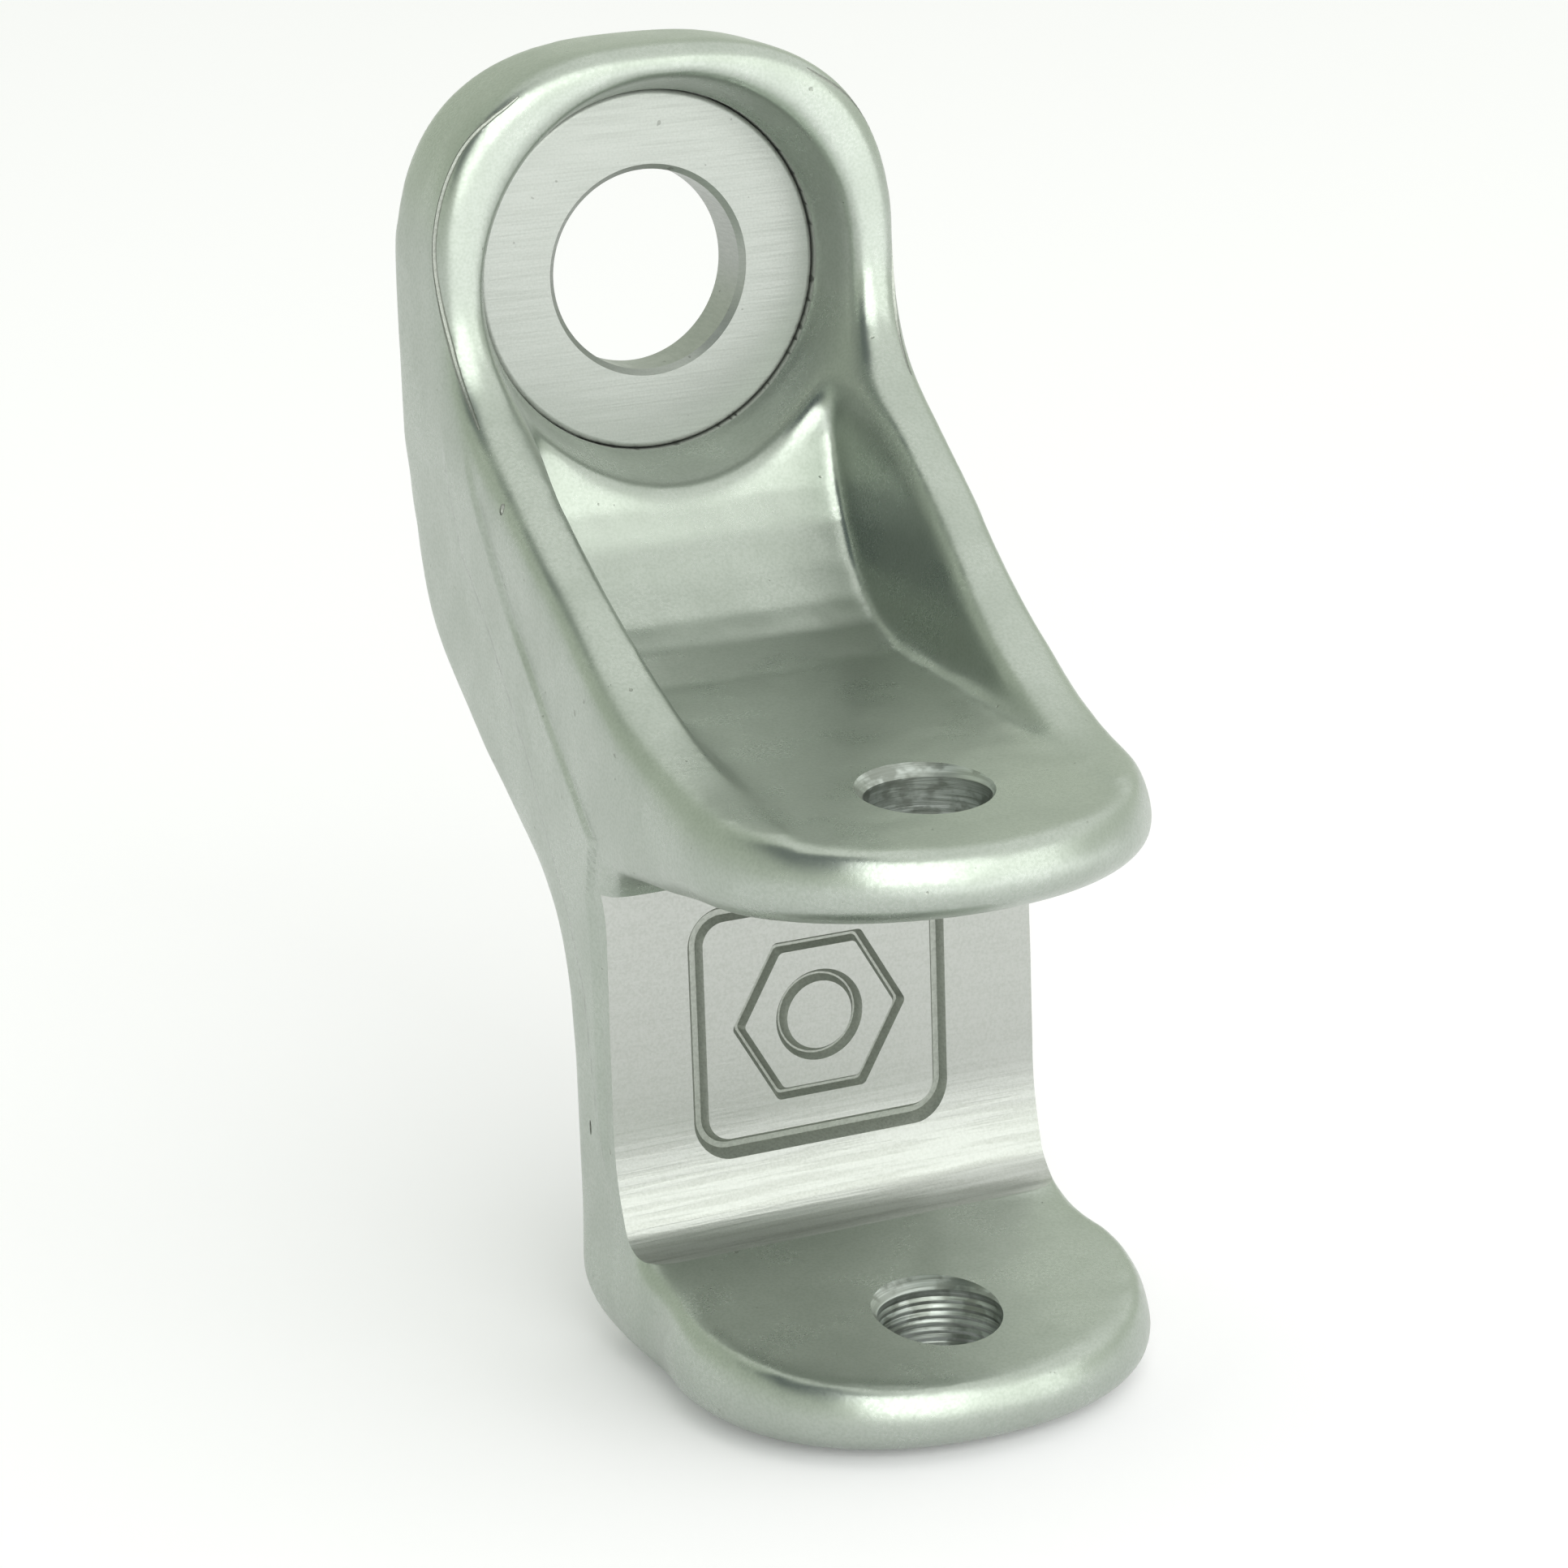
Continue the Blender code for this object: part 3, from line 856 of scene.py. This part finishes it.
def forged_finish():
    """Satin blasted metal: fine grain, soft lumps, cloudy tone and a few dark pits."""
    finish = Finish("satin_forged_alloy_look", (0.445, 0.485, 0.44), (0.33, 0.37, 0.32), 0.25)
    grain = finish.noise((0.16, 0.16, 0.16), 4.0)
    clouds = finish.noise((3.5, 3.5, 5.0), 3.0)
    lumps = finish.noise((2.6, 2.6, 2.6), 1.0)
    pits = finish.between(finish.noise((0.6, 0.6, 0.6), 2.0), 0.745, 0.785)
    finish.tint(finish.between(grain, 0.35, 0.7, 0.0, 0.45))
    finish.tint(finish.between(clouds, 0.35, 0.7, 0.0, 0.3))
    finish.colour = finish.blend(finish.colour, (0.2, 0.21, 0.18), finish.calculate("MULTIPLY", pits, 0.5))
    finish.roughen(finish.between(clouds, 0.3, 0.7, 0.0, 0.06))
    finish.roughen(finish.between(grain, 0.3, 0.75, 0.0, 0.06))
    finish.raise_by(lumps, 0.05)
    finish.raise_by(grain, 0.0035)
    finish.raise_by(finish.calculate("MULTIPLY", pits, -1.0), 0.02)
    return finish.done()


def milled_finish():
    """The milled clevis: a fine even grain, with faint cutter streaks towards the foot of the wall, painted
    paler there: partly the cutter's marks, partly a painted highlight.
    """
    finish = Finish("milled_alloy_look", (0.45, 0.465, 0.44), (0.37, 0.385, 0.355), 0.32)
    grain = finish.noise((0.14, 0.14, 0.14), 3.0)
    sweep = finish.noise((7.0, 0.5, 0.28), 2.0, (0, 5, 0))
    near_foot = finish.between(finish.along("Z"), STREAKS_FULL_Z, STREAKS_FAINT_Z, 1.0, 0.15)
    streaks = finish.calculate("MULTIPLY", finish.between(sweep, 0.4, 0.62), near_foot)
    finish.tint(finish.between(grain, 0.35, 0.7, 0.0, 0.5))
    # Paler streaks near the wall's foot: partly the cutter's marks, partly a painted highlight.
    pale = finish.calculate("MULTIPLY", streaks, 0.35)
    finish.colour = finish.blend(finish.colour, (0.60, 0.62, 0.60), pale)
    finish.roughen(finish.between(grain, 0.3, 0.75, 0.0, 0.08))
    finish.raise_by(grain, 0.006)
    finish.raise_by(streaks, 0.006)
    return finish.done()


def rough_hollows_painted_shade_finish():
    """The grooves, the crease and the nicks: rougher than the milled wall, and darker as painted shade in
    these hollows.
    """
    # Both colours are darker than the milled wall's: painted shade in the grooves, the crease and the nicks.
    finish = Finish("rough_hollows_painted_shade_alloy_look", (0.39, 0.41, 0.375), (0.29, 0.31, 0.275), 0.42)
    grain = finish.noise((0.14, 0.14, 0.14), 3.0)
    finish.tint(finish.between(grain, 0.35, 0.7, 0.0, 0.7))
    finish.raise_by(grain, 0.01)
    return finish.done()


def drilled_finish():
    """Inside the drilled holes: rings left by the drill, with darker patches."""
    finish = Finish("drilled_alloy_look", (0.52, 0.56, 0.53), (0.22, 0.24, 0.21), 0.34)
    rings = finish.noise((4.0, 4.0, 0.12), 2.0)
    patches = finish.noise((1.2, 1.2, 0.8), 3.0)
    finish.tint(finish.between(rings, 0.4, 0.65, 0.0, 0.6))
    finish.tint(finish.between(patches, 0.45, 0.62, 0.0, 0.8))
    finish.raise_by(rings, 0.02)
    return finish.done()


def turned_finish():
    """The faced ring: fine lines along x, a matte grain and a few specks."""
    finish = Finish("turned_ring_look", (0.40, 0.42, 0.395), (0.31, 0.33, 0.305), 0.36)
    lines = finish.noise((5.0, 1.0, 0.11), 3.0)
    grain = finish.noise((0.13, 0.13, 0.13), 3.0)
    specks = finish.between(finish.noise((0.6, 0.6, 0.6), 2.0), 0.71, 0.76)
    finish.tint(finish.between(lines, 0.35, 0.7, 0.0, 0.28))
    finish.tint(finish.between(grain, 0.35, 0.7, 0.0, 0.35))
    finish.colour = finish.blend(finish.colour, (0.18, 0.19, 0.17), finish.calculate("MULTIPLY", specks, 0.6))
    finish.roughen(finish.between(lines, 0.35, 0.7, 0.0, 0.08))
    finish.raise_by(lines, 0.003)
    finish.raise_by(grain, 0.005)
    return finish.done()


forged = forged_finish()
milled = milled_finish()
rough_hollows_painted_shade = rough_hollows_painted_shade_finish()
drilled = drilled_finish()
turned_metal = turned_finish()


# ---------------------------------------------------------------- studio

def heading(azimuth, elevation):
    """The direction at azimuth degrees from the front, counted to the right, and elevation degrees up."""
    turn, rise = math.radians(azimuth), math.radians(elevation)
    return Vector((math.sin(turn) * math.cos(rise), -math.cos(turn) * math.cos(rise), math.sin(rise)))


def lamp(name, kind, azimuth, elevation, colour):
    light = bpy.data.lights.new(name, kind)
    light.color = colour
    holder = bpy.data.objects.new(name, light)
    place = heading(azimuth, elevation)
    holder.location = place * LAMP_DISTANCE
    holder.rotation_euler = (-place).to_track_quat("-Z", "Y").to_euler()
    bpy.context.scene.collection.objects.link(holder)
    return light


def softbox(name, azimuth, elevation, width, height, radiance, colour=(1, 1, 1)):
    """A rectangular lamp that spans width by height degrees."""
    light = lamp(name, "AREA", azimuth, elevation, colour)
    light.shape = "RECTANGLE"
    light.size = 2 * LAMP_DISTANCE * math.tan(math.radians(width / 2))
    light.size_y = 2 * LAMP_DISTANCE * math.tan(math.radians(height / 2))
    light.energy = radiance * math.pi * light.size * light.size_y


def surroundings():
    """A grey-green room: pale below and at the horizon, bright high on the right, dark high on the left."""
    world = bpy.data.worlds.new("studio")
    world.use_nodes = True
    nodes, links = world.node_tree.nodes, world.node_tree.links
    where = nodes.new("ShaderNodeTexCoord")
    light = None
    for centre, inner, outer, colour in (PALE_GROUND, BRIGHT_CEILING, DARK_PATCH):
        towards = nodes.new("ShaderNodeVectorMath")
        towards.operation = "DOT_PRODUCT"
        towards.inputs[1].default_value = heading(*centre)
        links.new(where.outputs["Generated"], towards.inputs[0])
        share = nodes.new("ShaderNodeMapRange")
        share.interpolation_type = "SMOOTHSTEP"
        share.inputs["From Min"].default_value = math.cos(math.radians(outer))
        share.inputs["From Max"].default_value = math.cos(math.radians(inner))
        links.new(towards.outputs["Value"], share.inputs["Value"])
        blend = nodes.new("ShaderNodeMix")
        blend.data_type = "RGBA"
        blend.inputs["A"].default_value = (*ROOM_COLOUR, 1)
        if light:
            links.new(light, blend.inputs["A"])
        blend.inputs["B"].default_value = (*colour, 1)
        links.new(share.outputs["Result"], blend.inputs["Factor"])
        light = blend.outputs["Result"]
    links.new(light, nodes["Background"].inputs["Color"])
    bpy.context.scene.world = world


def studio():
    """A pale floor that glows as painted light, most in a painted pool of light at the front right, the room
    and two lamps.
    """
    bm = bmesh.new()
    bmesh.ops.create_grid(bm, x_segments=8, y_segments=8, size=FLOOR_HALF_WIDTH)
    floor = mesh_object("floor", bm)
    floor.location = (0, 0, body_low.z - FLOOR_GAP)
    finish = bpy.data.materials.new("pale_floor_with_painted_light_pool")
    finish.use_nodes = True
    shader = finish.node_tree.nodes["Principled BSDF"]
    shader.inputs["Base Color"].default_value = (*FLOOR_COLOUR, 1)
    shader.inputs["Emission Color"].default_value = (1, 1, 1, 1)
    nodes, links = finish.node_tree.nodes, finish.node_tree.links
    where = nodes.new("ShaderNodeTexCoord")
    away = nodes.new("ShaderNodeVectorMath")
    away.operation = "DISTANCE"
    away.inputs[1].default_value = FLOOR_PAINTED_LIGHT_POOL
    links.new(where.outputs["Object"], away.inputs[0])
    # The painted pool of light: the floor's glow, strongest at the front right and faint far from it.
    pool = nodes.new("ShaderNodeMapRange")
    pool.interpolation_type = "SMOOTHSTEP"
    pool.inputs["From Min"].default_value = FLOOR_PAINTED_LIGHT_POOL_RADII[0]
    pool.inputs["From Max"].default_value = FLOOR_PAINTED_LIGHT_POOL_RADII[1]
    pool.inputs["To Min"].default_value = FLOOR_GLOW[1]
    pool.inputs["To Max"].default_value = FLOOR_GLOW[0]
    links.new(away.outputs["Value"], pool.inputs["Value"])
    links.new(pool.outputs["Result"], shader.inputs["Emission Strength"])
    shader.inputs["Roughness"].default_value = 0.9
    shader.inputs["Specular IOR Level"].default_value = 0.1
    floor.data.materials.append(finish)
    surroundings()
    softbox("front_box", -9, 24, 46, 44, 2.3)
    softbox("front_right_box", 36, 14, 36, 34, 1.2)
    bpy.context.scene.view_settings.view_transform = "Standard"


def camera():
    """Looks from the front left and above, through a long lens, leaning a little."""
    azimuth, roll = math.radians(CAMERA_HEADING[0]), math.radians(CAMERA_ROLL)
    back = heading(*CAMERA_HEADING)
    right = Vector((math.cos(azimuth), math.sin(azimuth), 0))
    up = back.cross(right)
    leaning_right = right * math.cos(roll) + up * math.sin(roll)
    leaning_up = up * math.cos(roll) - right * math.sin(roll)
    eye = bpy.data.objects.new("camera", bpy.data.cameras.new("camera"))
    eye.data.lens = CAMERA_LENS
    eye.data.sensor_width = CAMERA_SENSOR
    eye.data.clip_start = 0.01
    turn = Matrix((leaning_right, leaning_up, back)).transposed()
    x, y, z = CAMERA_PLACE
    place = Vector((x, y - RING_FACE_Y, z - EYE_Z)) * MM
    eye.matrix_world = Matrix.Translation(place) @ turn.to_4x4()
    bpy.context.scene.collection.objects.link(eye)
    bpy.context.scene.camera = eye


body_piece()
ring_piece()
studio()
camera()
